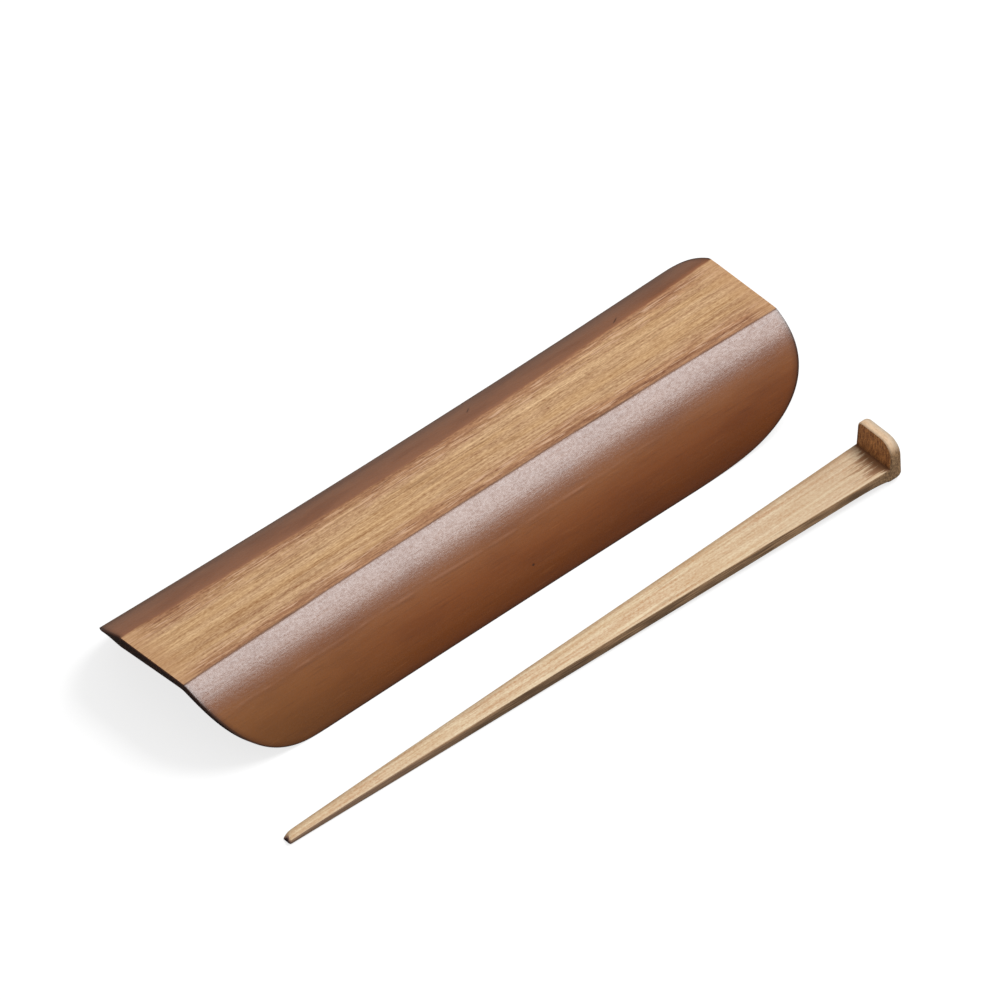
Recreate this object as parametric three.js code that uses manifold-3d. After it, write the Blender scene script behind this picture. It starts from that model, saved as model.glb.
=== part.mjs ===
// Bamboo tea scoop and its pick, lying side by side on a table.
// Millimetres, +Z up. +X runs along the scoop from its tail to its head, +Y points away from the pick.
// The origin is at the middle of the footprint of both pieces, on the table.
import * as THREE from "three";
import { mergeVertices } from "three/addons/utils/BufferGeometryUtils.js";
import Module from "manifold-3d";

// Scoop: one split length of culm, lying hollow side down on its two split edges
const SCOOP_LENGTH = 180;
const CULM_RADIUS = 28.2; // outer radius at mid length
const CULM_AXIS_DEPTH = 7; // how far the culm's axis lies below the table
const CULM_FLARE = 0.45; // how much the radius grows from mid length to each end
const CROWN_WALL = 2.4;
const FOOT_WALL = 1.4; // the flanks are pared thinner than the crown
const FACET_CUT = 1.6; // depth planed off the crown, which leaves its flat facet

// Round corners of the scoop, measured on the unrolled skin, along the culm and across it
// A fullness of 2 is an ellipse, and more is squarer.
const HEAD_CORNER = { along: 36.5, across: 27.6, fullness: 2.45 };
const TAIL_CORNER = { along: 24, across: 27.6, fullness: 2.05 };
// The tail is cut a little aslant: over the facet its end lies this far out at the middle, and this much
// more or less at the far and near creases.
const TAIL_EXCESS = 0.55;
const TAIL_SLANT = 0.35;

// Pick: one strip of culm that tapers to its tip, with the culm's node left standing at its head
const PICK_LENGTH = 180.6;
const PICK_HEAD_WIDTH = 11.5;
const PICK_TIP_WIDTH = 2.9;
const PICK_TAPER = 1.3; // 1 is a straight taper, more keeps the tip slim for longer
const PICK_HEAD_THICKNESS = 2.8;
const PICK_TIP_THICKNESS = 1.5;
const PICK_THICKENING = 4; // how soon it gains its full thickness from the tip on
const PICK_EDGE = 0.35; // small chamfer along its four long edges
const TIP_PARING = 1.9; // how far the tip's far upper corner is pared back
const NODE_DROP = 2.1; // how far the node's ridge stands below the strip's underside
const NODE_DROP_BOW = 2.2; // 1 is a straight underside, more keeps it near the table for longer
const NODE_REACH = 13; // length over which the underside swells down to the ridge
const NODE_SWELL = 3; // how late that swelling comes
const TAB_HEIGHT = 6.7; // of the diaphragm above the strip's upper face
const TAB_THICKNESS = 3.5; // at the ridge
const TAB_TOP_THICKNESS = 2.7;
const TAB_OVERHANG = 0.15; // of the diaphragm past the strip, on each side
const TAB_NEAR_ROUND = 4.4;
const TAB_FAR_ROUND = 1.7;
const RIDGE_ROUND = 1.2;

// How the pick lies beside the scoop
const PICK_CLEARANCE = 16.8; // clear table between the scoop's foot and the pick's head
const PICK_LEAD = 3.3; // how far the pick's tip lies past the scoop's tail
const PICK_YAW = THREE.MathUtils.degToRad(-0.63);

// Fineness of the meshes
const FACET_STEPS = 4;
const FLANK_STEPS = 12;
const SCOOP_STEPS = 12;
const PICK_STEPS = 16;
const NODE_STEPS = 8;
const TAB_BURIED = 1.2; // how deep the strip's end runs into the diaphragm

const wasm = await Module();
wasm.setup();

// Closed solid through sections that follow each other along +X. A section has an upper row and a lower row
// of points, as many in each, both from the near side to the far side.
function loft(sections) {
  const count = sections[0].upper.length;
  const loops = sections.map(({ upper, lower }) => [...upper, ...lower.toReversed()]);
  const corners = [];
  const addFace = (a, b, c, d) => corners.push(a, b, c, a, c, d);
  for (let i = 0; i < loops.length - 1; i++) {
    for (let k = 0; k < 2 * count; k++) {
      const next = (k + 1) % (2 * count);
      addFace(loops[i][k], loops[i + 1][k], loops[i + 1][next], loops[i][next]);
    }
  }
  const first = sections[0];
  const last = sections.at(-1);
  for (let j = 0; j < count - 1; j++) {
    addFace(first.upper[j], first.upper[j + 1], first.lower[j + 1], first.lower[j]);
    addFace(last.upper[j + 1], last.upper[j], last.lower[j], last.lower[j + 1]);
  }
  const geometry = new THREE.BufferGeometry().setFromPoints(corners);
  geometry.computeVertexNormals();
  return geometry;
}

// Closed mesh to solid and back, for joining
function toSolid(geometry) {
  const bare = geometry.clone();
  bare.deleteAttribute("normal");
  bare.deleteAttribute("uv");
  const merged = mergeVertices(bare);
  const vertProperties = merged.attributes.position.array;
  const triVerts = new Uint32Array(merged.index.array);
  return new wasm.Manifold(new wasm.Mesh({ numProp: 3, vertProperties, triVerts }));
}

function toGeometry(solid) {
  const mesh = solid.getMesh();
  const geometry = new THREE.BufferGeometry();
  geometry.setAttribute("position", new THREE.BufferAttribute(mesh.vertProperties, mesh.numProp));
  geometry.setIndex(new THREE.BufferAttribute(mesh.triVerts, 1));
  geometry.computeVertexNormals();
  return geometry;
}

// A row number says where a point lies around the shell: -1 to 1 across the facet, from crease to crease,
// and on to -2 and 2 down the flanks to the near and far foot.
function shellRows() {
  const rows = [];
  for (let k = 1 - FACET_STEPS / 2; k < FACET_STEPS / 2; k++) {
    rows.push((2 * k) / FACET_STEPS);
  }
  for (let k = 0; k <= FLANK_STEPS; k++) {
    const row = 1 + Math.sin((Math.PI / 2) * (k / FLANK_STEPS));
    rows.push(-row, row);
  }
  return rows.sort((a, b) => a - b);
}

function culmRadius(x) {
  return CULM_RADIUS + CULM_FLARE * (x / (SCOOP_LENGTH / 2)) ** 2;
}

// Wall's thickness at a row
function shellWall(row) {
  const down = Math.max(Math.abs(row) - 1, 0);
  return THREE.MathUtils.lerp(CROWN_WALL, FOOT_WALL, Math.sqrt(down));
}

// Point of the skin, or of the hollow's wall at a depth below the skin
function shellPoint(row, x, depth) {
  const radius = culmRadius(x) - depth;
  const facetFromAxis = CULM_RADIUS - FACET_CUT - depth;
  const creaseAngle = Math.acos(facetFromAxis / radius);
  if (Math.abs(row) <= 1) {
    return new THREE.Vector3(x, row * radius * Math.sin(creaseAngle), facetFromAxis - CULM_AXIS_DEPTH);
  }
  const footAngle = Math.acos(CULM_AXIS_DEPTH / radius);
  const angle = THREE.MathUtils.lerp(creaseAngle, footAngle, Math.abs(row) - 1);
  return new THREE.Vector3(
    x,
    Math.sign(row) * radius * Math.sin(angle),
    radius * Math.cos(angle) - CULM_AXIS_DEPTH,
  );
}

// How far a row's end lies short of the scoop's full length, because of the round corner
function cornerSetback(row, corner) {
  const girth = (y, z) => CULM_RADIUS * Math.atan2(Math.abs(y), z + CULM_AXIS_DEPTH);
  const place = shellPoint(row, 0, 0);
  const halfGirth = CULM_RADIUS * Math.acos(CULM_AXIS_DEPTH / CULM_RADIUS);
  const across = Math.min(corner.across, halfGirth);
  const into = THREE.MathUtils.clamp((girth(place.y, place.z) - halfGirth) / across + 1, 0, 1);
  return corner.along * (1 - (1 - into ** corner.fullness) ** (1 / corner.fullness));
}

// How far out a row's tail end lies, because of the slanting cut
function tailExcess(row) {
  const side = THREE.MathUtils.clamp(row, -1, 1);
  const down = Math.abs(row - side);
  return (TAIL_EXCESS + TAIL_SLANT * side) * (1 - down);
}

function scoopGeometry() {
  const rows = shellRows();
  const ends = rows.map((row) => ({
    tail: -SCOOP_LENGTH / 2 - tailExcess(row) + cornerSetback(row, TAIL_CORNER),
    head: SCOOP_LENGTH / 2 - cornerSetback(row, HEAD_CORNER),
  }));
  const sections = [];
  for (let i = 0; i <= SCOOP_STEPS; i++) {
    const places = ends.map(({ tail, head }) => THREE.MathUtils.lerp(tail, head, i / SCOOP_STEPS));
    sections.push({
      upper: rows.map((row, j) => shellPoint(row, places[j], 0)),
      lower: rows.map((row, j) => shellPoint(row, places[j], shellWall(row))),
    });
  }
  return loft(sections);
}

// Sizes of the strip at a distance from its tip
const TAB_START = PICK_LENGTH - TAB_THICKNESS;

function stripWidth(distance) {
  return THREE.MathUtils.lerp(PICK_TIP_WIDTH, PICK_HEAD_WIDTH, (distance / TAB_START) ** PICK_TAPER);
}

function stripUnderside(distance) {
  return NODE_DROP * (distance / TAB_START) ** NODE_DROP_BOW;
}

function stripTop(distance) {
  const gained = 1 - (1 - distance / TAB_START) ** PICK_THICKENING;
  const thickness = THREE.MathUtils.lerp(PICK_TIP_THICKNESS, PICK_HEAD_THICKNESS, gained);
  return stripUnderside(distance) + thickness;
}

// Lowest height of the strip, with the swelling under the node
function stripBottom(distance) {
  const into = THREE.MathUtils.clamp((distance - (TAB_START - NODE_REACH)) / NODE_REACH, 0, 1);
  return stripUnderside(distance) * (1 - into ** NODE_SWELL);
}

// Four places across the strip, at its sides and where its chamfers meet the faces
function stripSection(distance, paring) {
  const half = stripWidth(distance) / 2;
  const across = [-half, PICK_EDGE - half, half - PICK_EDGE, half];
  const chamfer = [PICK_EDGE, 0, 0, PICK_EDGE];
  const top = stripTop(distance);
  const bottom = stripBottom(distance);
  const setBack = (y) => paring * (0.5 + y / (2 * half));
  return {
    upper: across.map((y, j) => new THREE.Vector3(distance + setBack(y), y, top - chamfer[j])),
    lower: across.map((y, j) => new THREE.Vector3(distance, y, bottom + chamfer[j])),
  };
}

function stripGeometry() {
  const swellStart = TAB_START - NODE_REACH;
  const sections = [stripSection(0, TIP_PARING)];
  for (let i = 1; i <= PICK_STEPS; i++) {
    sections.push(stripSection((swellStart * i) / PICK_STEPS, 0));
  }
  for (let i = 1; i <= NODE_STEPS; i++) {
    sections.push(stripSection(swellStart + (NODE_REACH * i) / NODE_STEPS, 0));
  }
  const buried = stripSection(TAB_START, 0);
  for (const point of [...buried.upper, ...buried.lower]) {
    point.x += TAB_BURIED;
  }
  sections.push(buried);
  return loft(sections);
}

// The diaphragm and the ridge below it: a plate across the strip's end, drawn looking along +X with the
// near side at the right, then stood up and pushed to its place
function tabGeometry() {
  const half = stripWidth(TAB_START) / 2 + TAB_OVERHANG;
  const top = stripTop(TAB_START) + TAB_HEIGHT;
  const outline = new THREE.Shape();
  const rounds = [
    { y: -half, z: 0, round: RIDGE_ROUND, from: Math.PI, turnY: 1, turnZ: 1 },
    { y: half, z: 0, round: RIDGE_ROUND, from: -Math.PI / 2, turnY: -1, turnZ: 1 },
    { y: half, z: top, round: TAB_FAR_ROUND, from: 0, turnY: -1, turnZ: -1 },
    { y: -half, z: top, round: TAB_NEAR_ROUND, from: Math.PI / 2, turnY: 1, turnZ: -1 },
  ];
  for (const { y, z, round, from, turnY, turnZ } of rounds) {
    outline.absarc(y + turnY * round, z + turnZ * round, round, from, from + Math.PI / 2, false);
  }
  const plate = new THREE.ExtrudeGeometry(outline, {
    depth: TAB_THICKNESS,
    bevelEnabled: false,
    curveSegments: 8,
  });
  // The outline's first axis becomes +Y, its second +Z, and its depth +X
  plate.applyMatrix4(new THREE.Matrix4().makeBasis(
    new THREE.Vector3(0, 1, 0),
    new THREE.Vector3(0, 0, 1),
    new THREE.Vector3(1, 0, 0),
  ));
  // Its outer face leans, so that it thins toward its top
  const corner = plate.attributes.position;
  for (let i = 0; i < corner.count; i++) {
    const thickness = THREE.MathUtils.lerp(TAB_THICKNESS, TAB_TOP_THICKNESS, corner.getZ(i) / top);
    corner.setX(i, corner.getX(i) * (thickness / TAB_THICKNESS));
  }
  return plate.translate(TAB_START, 0, 0);
}

function makeScoop() {
  const lacquered = new THREE.MeshStandardMaterial({ color: 0x97633f, roughness: 0.42, metalness: 0 });
  const scoop = new THREE.Mesh(scoopGeometry(), lacquered);
  scoop.name = "scoop_body";
  return scoop;
}

function makePick() {
  const oiled = new THREE.MeshStandardMaterial({ color: 0xd8b68a, roughness: 0.55, metalness: 0 });
  const pick = new THREE.Mesh(toGeometry(toSolid(stripGeometry()).add(toSolid(tabGeometry()))), oiled);
  pick.name = "tea_pick";
  const footHalfWidth = shellPoint(-2, 0, 0).y;
  const headY = footHalfWidth - PICK_CLEARANCE - PICK_HEAD_WIDTH / 2;
  pick.rotation.z = PICK_YAW;
  pick.position.x = -SCOOP_LENGTH / 2 - PICK_LEAD;
  pick.position.y = headY - PICK_LENGTH * Math.sin(PICK_YAW);
  return pick;
}

// The set stands on z = 0 with the middle of its footprint over the origin
const teaSet = new THREE.Group();
teaSet.add(makeScoop(), makePick());
const middle = new THREE.Box3().setFromObject(teaSet, true).getCenter(new THREE.Vector3());
teaSet.position.set(-middle.x, -middle.y, 0);

const part = new THREE.Group();
part.add(teaSet);

export default part;
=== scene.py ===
import math

import bpy
from mathutils import Matrix, Vector


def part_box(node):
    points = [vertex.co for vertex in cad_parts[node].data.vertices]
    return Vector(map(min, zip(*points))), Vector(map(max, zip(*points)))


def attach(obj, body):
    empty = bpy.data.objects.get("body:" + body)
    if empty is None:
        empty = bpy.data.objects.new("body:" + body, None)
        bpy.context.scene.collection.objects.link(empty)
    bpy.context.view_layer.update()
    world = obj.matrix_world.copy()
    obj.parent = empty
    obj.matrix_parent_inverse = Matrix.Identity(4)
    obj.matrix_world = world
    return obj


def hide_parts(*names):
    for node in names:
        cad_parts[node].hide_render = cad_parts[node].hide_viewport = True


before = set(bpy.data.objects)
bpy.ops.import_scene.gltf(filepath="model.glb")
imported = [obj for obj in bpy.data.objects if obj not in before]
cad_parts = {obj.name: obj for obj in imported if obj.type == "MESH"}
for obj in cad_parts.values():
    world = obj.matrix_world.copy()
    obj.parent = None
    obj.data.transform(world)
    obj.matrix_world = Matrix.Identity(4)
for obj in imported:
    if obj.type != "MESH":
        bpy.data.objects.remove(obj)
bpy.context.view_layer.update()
bpy.context.scene.view_settings.view_transform = "Standard"
SCOOP_LOW, SCOOP_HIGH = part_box("scoop_body")
PICK_LOW, PICK_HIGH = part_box("tea_pick")

MM = 0.001

# Scoop, in metres: one split length of culm, hollow side down
TAIL_EXCESS = 0.55 * MM  # the tail's cut slants: its end lies this far out in the middle of the facet
TAIL_SLANT = 0.35 * MM  # and this much more at the far crease and less at the near one
SCOOP_LENGTH = SCOOP_HIGH[0] - SCOOP_LOW[0] - TAIL_EXCESS - TAIL_SLANT
SCOOP_CENTRE = Vector((SCOOP_HIGH[0] - SCOOP_LENGTH / 2, (SCOOP_LOW[1] + SCOOP_HIGH[1]) / 2, 0))
CULM_AXIS_DEPTH = 7 * MM  # the culm's axis lies this far below the table
FACET_CUT = 1.6 * MM  # planed off the crown
CULM_RADIUS = SCOOP_HIGH[2] + CULM_AXIS_DEPTH + FACET_CUT
CULM_FLARE = 0.45 * MM  # the culm widens this much to each end
CROWN_WALL = 2.4 * MM  # in the middle of the facet
CROWN_LEAN = 0.45 * MM  # thicker to the far crease and thinner to the near one by this much
FOOT_WALL = 1.4 * MM
CREASE_EASE = 0.32 * MM  # half the width of the softened edge between facet and flank
CREASE_WANDER = 0.3 * MM  # the skin isn't quite round, so the facet's edges wander
FAR_SAG = 0.18 * MM  # the far shoulder is flatter in the middle, and fuller toward the head
FAR_SKEW = 0.285 * MM
FAR_FLARE = 0.4 * MM
FAR_SLACK = 0.34 * MM  # the far flank is flatter at mid length
FAR_WALL = 1 * MM  # and pared thinner
HEAD_CORNER, HEAD_FULLNESS = 36.5 * MM, 2.45  # reach along the culm, and how square
TAIL_CORNER, TAIL_FULLNESS = 24 * MM, 2.05
TAIL_THINNING = 0.85  # share of the far flank's wall that is pared away at the tail's end
WANDER_LENGTH = 21 * MM
RIM_ROUND = 0.25 * MM
RIM_ANGLE = math.radians(50)  # sharper edges than this are rounded
FACET_ANGLE = math.acos(1 - FACET_CUT / CULM_RADIUS)
FOOT_ANGLE = math.acos(CULM_AXIS_DEPTH / CULM_RADIUS)

# Pick, in metres: a strip that tapers to its tip, with the culm's node left standing at its head
PICK_LENGTH = 180.6 * MM
PICK_YAW = math.radians(-0.63)
PICK_HEAD_WIDTH = 11.5 * MM
PICK_TIP_WIDTH = 2.9 * MM
PICK_TAPER = 1.26
PICK_HEAD_THICKNESS = 2.8 * MM
PICK_TIP_THICKNESS = 1.5 * MM
PICK_THICKENING = 4  # how soon it gains its full thickness from the tip on
PICK_FULLNESS = 0.45 * MM  # the strip is thicker than that by this much at mid length
PICK_EDGE_ROUND = 0.32 * MM
PICK_NEAR_ROUND = 0.5 * MM  # the near upper edge is worn rounder
PICK_TIP_EDGE_ROUND = 0.6 * MM
TIP_PARING = 1.9 * MM  # at the tip's far upper corner
TIP_ROUND = 0.62 * MM
TIP_SOFTENING = 30 * MM  # the edges are rounder over this length from the tip on
NODE_DROP = 2.1 * MM  # from the strip's underside to the table, at the tab
NODE_DROP_BOW = 2.2  # more keeps the underside near the table for longer
NODE_REACH = 13 * MM  # of that swelling, from the tab's start
NODE_SWELL = 3  # how late the swelling below the node sets in
TAB_HEIGHT = 7 * MM  # over the strip
TAB_THICKNESS = 3.5 * MM  # as the solids have it
TAB_FOOT_THICKNESS = 4.7 * MM
TAB_TOP_THICKNESS = 3 * MM
TAB_TOE = 0.6 * MM  # its inner face starts this much nearer the tip
TAB_LEAN = 0.8 * MM  # and leans this much to the head over its whole height
TAB_OVERHANG = 0.15 * MM  # past the strip on each side
TAB_NEAR_ROUND = 4.4 * MM
TAB_FAR_ROUND = 1.7 * MM
RIDGE_ROUND = 2 * MM
TAB_INNER_ROUND = 0.55 * MM
TAB_OUTER_ROUND = 1.5 * MM
TAB_BURIED = 1.2 * MM  # the strip's end inside the tab
SMALLEST_ROUND = 0.02 * MM
RIM_MARGIN = 0.15 * MM  # a ring on the tab's faces just inside their rounded rims
TAB_START = PICK_LENGTH - TAB_THICKNESS
PICK_TIP = Vector((
    PICK_LOW[0] - PICK_TIP_WIDTH / 2 * math.sin(PICK_YAW),
    (PICK_LOW[1] + PICK_HIGH[1]) / 2 - (PICK_LENGTH + TAB_START) / 2 * math.sin(PICK_YAW),
    0,
))

# Camera
CAMERA_ELEVATION = math.radians(44.505)
CAMERA_HEADING = math.radians(42.215)  # between the scoop's length and the image's horizontal
CAMERA_DISTANCE = 3.2213
CAMERA_ASIDE = -2.2885 * MM  # of the frame's origin from the line of sight, to the right and upwards
CAMERA_ABOVE = -15.2074 * MM
PIXELS_PER_METRE = 4424.9  # at the frame's origin
PHOTO_PIXELS = 1000
SENSOR_WIDTH = 36
VIEW_END = 20

# Table and light
TABLE_SIZE = 12
TABLE_COLOUR = (0.36, 0.36, 0.36, 1)
TABLE_LIFT = 0.76
ROOM_LIGHT = 0.42
BOX_DIRECTION = (0.479, -0.16, 0.863)
BOX_DISTANCE = 2
BOX_LENGTH = 0.85
BOX_WIDTH = 1.02
BOX_RADIANCE = 8.6
TENT_SIZE = 5
TENT_FLOOR = 0.05 * MM  # just clear of the table
TENT_GREY = 0.08


# The Mix node's sockets for colours
MIX_LOW, MIX_HIGH, MIX_RESULT = 6, 7, 2


class Wire:
    """A node's output that takes part in arithmetic: each operator adds a Math node to its tree."""

    def __init__(self, tree, socket):
        self.tree = tree
        self.socket = socket

    def math(self, operation, *others):
        return self.tree.math(operation, self, *others)

    def __add__(self, other):
        return self.math("ADD", other)

    __radd__ = __add__

    def __sub__(self, other):
        return self.math("SUBTRACT", other)

    def __rsub__(self, other):
        return self.tree.math("SUBTRACT", other, self)

    def __mul__(self, other):
        return self.math("MULTIPLY", other)

    __rmul__ = __mul__

    def __truediv__(self, other):
        return self.math("DIVIDE", other)

    def __rtruediv__(self, other):
        return self.tree.math("DIVIDE", other, self)

    def __pow__(self, other):
        return self.math("POWER", other)

    def __abs__(self):
        return self.math("ABSOLUTE")

    def __gt__(self, other):
        return self.math("GREATER_THAN", other)

    def __lt__(self, other):
        return self.math("LESS_THAN", other)

    def lowest(self, other):
        return self.math("MINIMUM", other)

    def highest(self, other):
        return self.math("MAXIMUM", other)

    def held(self):
        """Kept between 0 and 1."""
        return self.highest(0).lowest(1)

    def rise(self, start, end):
        """0 on start's side, 1 on end's, and smooth between. Either may be the larger."""
        return self.tree.add(
            "ShaderNodeMapRange",
            {"Value": self, "From Min": start, "From Max": end},
            {"interpolation_type": "SMOOTHSTEP"},
        )

    def blend(self, low, high):
        """low where this is 0, high where it is 1."""
        return low + (high - low) * self

    def centred(self):
        """A noise's distance above or below its middle."""
        return self - 0.5


class Tree:
    """A node tree, which only add() fills."""

    def __init__(self, tree):
        self.nodes = tree.nodes
        self.links = tree.links

    def add(self, kind, values=None, settings=None, output=0):
        """Adds a node: its settings first, then its sockets' values or links. Gives one output."""
        node = self.nodes.new(kind)
        for name, setting in (settings or {}).items():
            if name == "stops":
                self._set_stops(node.color_ramp, setting)
            else:
                setattr(node, name, setting)
        for key, value in (values or {}).items():
            if isinstance(value, Wire):
                self.links.new(value.socket, node.inputs[key])
            else:
                node.inputs[key].default_value = value
        return Wire(self, node.outputs[output]) if node.outputs else None

    def math(self, operation, *operands):
        return self.add("ShaderNodeMath", dict(enumerate(operands)), {"operation": operation})

    @staticmethod
    def _set_stops(ramp, stops):
        while len(ramp.elements) < len(stops):
            ramp.elements.new(1)
        for element, (place, colour) in zip(ramp.elements, stops):
            element.position = place
            element.color = colour

    def tint(self, factor, low, high):
        """Colour low where the factor is 0, high where it is 1."""
        values = {0: factor, MIX_LOW: low, MIX_HIGH: high}
        return self.add("ShaderNodeMix", values, {"data_type": "RGBA"}, MIX_RESULT)

    def vector(self, x, y, z):
        return self.add("ShaderNodeCombineXYZ", {0: x, 1: y, 2: z})

    def parts(self, vector):
        split = self.add("ShaderNodeSeparateXYZ", {0: vector})
        return [Wire(self, output) for output in split.socket.node.outputs]

    def noise(self, x, y, z, detail=2, roughness=0.5):
        values = {"Vector": self.vector(x, y, z), "Scale": 1, "Detail": detail, "Roughness": roughness}
        return self.add("ShaderNodeTexNoise", values)

    def relief(self, height):
        """Normal of a fine relief, whose height is in millimetres."""
        return self.add("ShaderNodeBump", {"Height": height, "Strength": 1, "Distance": MM})


def srgb(red, green, blue):
    """Linear colour of a colour given as 0 to 255."""
    def linear(value):
        value /= 255
        return value / 12.92 if value <= 0.04045 else ((value + 0.055) / 1.055) ** 2.4

    return (linear(red), linear(green), linear(blue), 1)


# Colours, as red, green and blue of 255

# Planed facet
FACET_DARK = srgb(150, 92, 50)
FACET_PALE = srgb(254, 214, 163)
FACET_GOLD = srgb(212, 160, 86)
FACET_LINE = srgb(146, 98, 58)
STAINED_DARK = srgb(124, 70, 40)
STAINED_PALE = srgb(208, 150, 106)
STAIN_LINE = srgb(120, 70, 42)
STAIN_DASH = srgb(234, 192, 156)
FACET_END = srgb(206, 156, 110)
NEAR_CREASE = srgb(108, 74, 48)

# Skin
FAR_SHOULDER = srgb(163, 111, 82)
FAR_FLANK = srgb(165, 119, 92)
FAR_FOOT = srgb(136, 80, 42)
FAR_HEAD = srgb(176, 110, 66)
SKIN_CLOUD = srgb(112, 56, 28)
SKIN_HEAD = srgb(104, 50, 22)
SKIN_TAIL = srgb(150, 104, 58)
SKIN_DARK_FIBRE = srgb(92, 48, 28)
SKIN_PALE_FIBRE = srgb(196, 136, 92)
PARTING_PALE = srgb(200, 146, 118)
PARTING_DARK = srgb(104, 58, 36)
SKIN_MARK = srgb(62, 36, 26)
SKIN_EDGE_STAIN_AND_SHADE = srgb(84, 46, 28)
SKIN_OUTLINE_STAIN_AND_SHADE = srgb(58, 36, 28)
NEAR_FLANK = [  # from the crease down to the foot
    (0, srgb(142, 97, 76)),
    (0.24, srgb(144, 92, 62)),
    (0.42, srgb(156, 96, 54)),
    (0.62, srgb(150, 85, 41)),
    (0.85, srgb(136, 73, 29)),
    (1, srgb(124, 64, 25)),
]

# Hollow and end grain
HOLLOW_DARK = srgb(118, 72, 42)
HOLLOW_PALE = srgb(158, 106, 66)
HOLLOW_CLOUD = srgb(96, 56, 32)
END_STAIN_AND_SHADE = srgb(52, 31, 24)
END_BUNDLE = srgb(88, 55, 39)
END_RIM = srgb(126, 76, 54)

# Pick's face
FACE_DARK = srgb(202, 144, 94)
FACE_PALE = srgb(255, 234, 197)
FACE_GOLD = srgb(222, 186, 136)
FACE_LINE = srgb(176, 132, 88)
FACE_HEAD = srgb(206, 180, 152)
FACE_NEAR_EDGE_HIGHLIGHT = srgb(240, 214, 176)
FACE_FAR_EDGE = srgb(166, 132, 94)
SCORCH = srgb(146, 96, 56)
FOOT_SCORCH_AND_SHADE = srgb(116, 68, 36)

# Pick's sides and node
SIDE_DARK = srgb(126, 94, 66)
SIDE_PALE = srgb(216, 172, 128)
SIDE_PATCH = srgb(112, 84, 58)
SIDE_TIP = srgb(196, 158, 134)
SIDE_LOW_SHADE = srgb(86, 62, 44)
NODE_DARK = srgb(126, 94, 64)
NODE_PALE = srgb(210, 168, 122)
NODE_CLOUD = srgb(132, 96, 66)

# Tab
DIAPHRAGM_PALE = srgb(216, 150, 88)
DIAPHRAGM_DARK = srgb(144, 88, 46)
DIAPHRAGM_SPECK = srgb(102, 60, 32)
DIAPHRAGM_FLECK = srgb(222, 166, 108)
DIAPHRAGM_FOOT_SCORCH_AND_SHADE = srgb(104, 64, 38)
DIAPHRAGM_FAR_EDGE = srgb(96, 60, 36)
RIM_INNER = srgb(241, 207, 170)
RIM_OUTER_SHADE = srgb(204, 188, 166)
RIM_FIBRE = srgb(196, 156, 112)

# Tip
TIP_WOOD = srgb(206, 170, 130)
TIP_HALO = srgb(150, 112, 96)
TIP_SPOT = srgb(58, 34, 34)


def new_material(name):
    """A material with a bare Principled shader, and its tree."""
    material = bpy.data.materials.new(name)
    material.use_nodes = True
    material.node_tree.nodes.clear()
    return material, Tree(material.node_tree)


def close_material(tree, shader_values):
    shader = tree.add("ShaderNodeBsdfPrincipled", shader_values)
    tree.add("ShaderNodeOutputMaterial", {"Surface": shader})


def new_object(name, mesh):
    piece = bpy.data.objects.new(name, mesh)
    bpy.context.scene.collection.objects.link(piece)
    return piece


# Camera, table and light

def add_camera():
    """A long lens, level, at the photograph's angle."""
    turn, tilt = CAMERA_HEADING, CAMERA_ELEVATION
    right = Vector((math.cos(turn), -math.sin(turn), 0))
    ahead = Vector((math.sin(turn), math.cos(turn), 0))
    sight = ahead * math.cos(tilt) - Vector((0, 0, math.sin(tilt)))
    up = right.cross(sight)
    place = -CAMERA_ASIDE * right - CAMERA_ABOVE * up - CAMERA_DISTANCE * sight
    data = bpy.data.cameras.new("camera")
    data.sensor_width = SENSOR_WIDTH
    data.lens = PIXELS_PER_METRE * CAMERA_DISTANCE * SENSOR_WIDTH / PHOTO_PIXELS
    data.clip_end = VIEW_END
    camera = new_object("camera", data)
    camera.matrix_world = Matrix.Translation(place) @ Matrix((right, up, -sight)).transposed().to_4x4()
    bpy.context.scene.camera = camera


def seen_directly(tree):
    """1 for rays from the camera, or mirrored or let through on their way from it."""
    path = tree.add("ShaderNodeLightPath").socket.node.outputs
    seen = Wire(tree, path["Is Camera Ray"])
    for name in ("Is Glossy Ray", "Is Transmission Ray"):
        seen = seen.highest(Wire(tree, path[name]))
    return seen


def level_square(half, height):
    """Corners of a level square round the origin."""
    return [(-half, -half, height), (half, -half, height), (half, half, height), (-half, half, height)]


def add_table():
    """Pale table. What the camera sees of it is lifted to white, and the shadows stay."""
    mesh = bpy.data.meshes.new("table")
    mesh.from_pydata(level_square(TABLE_SIZE / 2, 0), [], [(0, 1, 2, 3)])
    material, tree = new_material("pale_table")
    cloth = tree.add("ShaderNodeBsdfDiffuse", {"Color": TABLE_COLOUR})
    lift = tree.add("ShaderNodeEmission", {"Strength": seen_directly(tree) * TABLE_LIFT})
    shader = tree.add("ShaderNodeAddShader", {0: cloth, 1: lift})
    tree.add("ShaderNodeOutputMaterial", {"Surface": shader})
    mesh.materials.append(material)
    new_object("table", mesh)


def add_room_light():
    """Even light from all round, and a white room where it is seen."""
    world = bpy.data.worlds.new("room")
    bpy.context.scene.world = world
    world.use_nodes = True
    world.node_tree.nodes.clear()
    tree = Tree(world.node_tree)
    strength = seen_directly(tree).blend(ROOM_LIGHT, 1)
    background = tree.add("ShaderNodeBackground", {"Color": (1, 1, 1, 1), "Strength": strength})
    tree.add("ShaderNodeOutputWorld", {"Surface": background})


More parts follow.
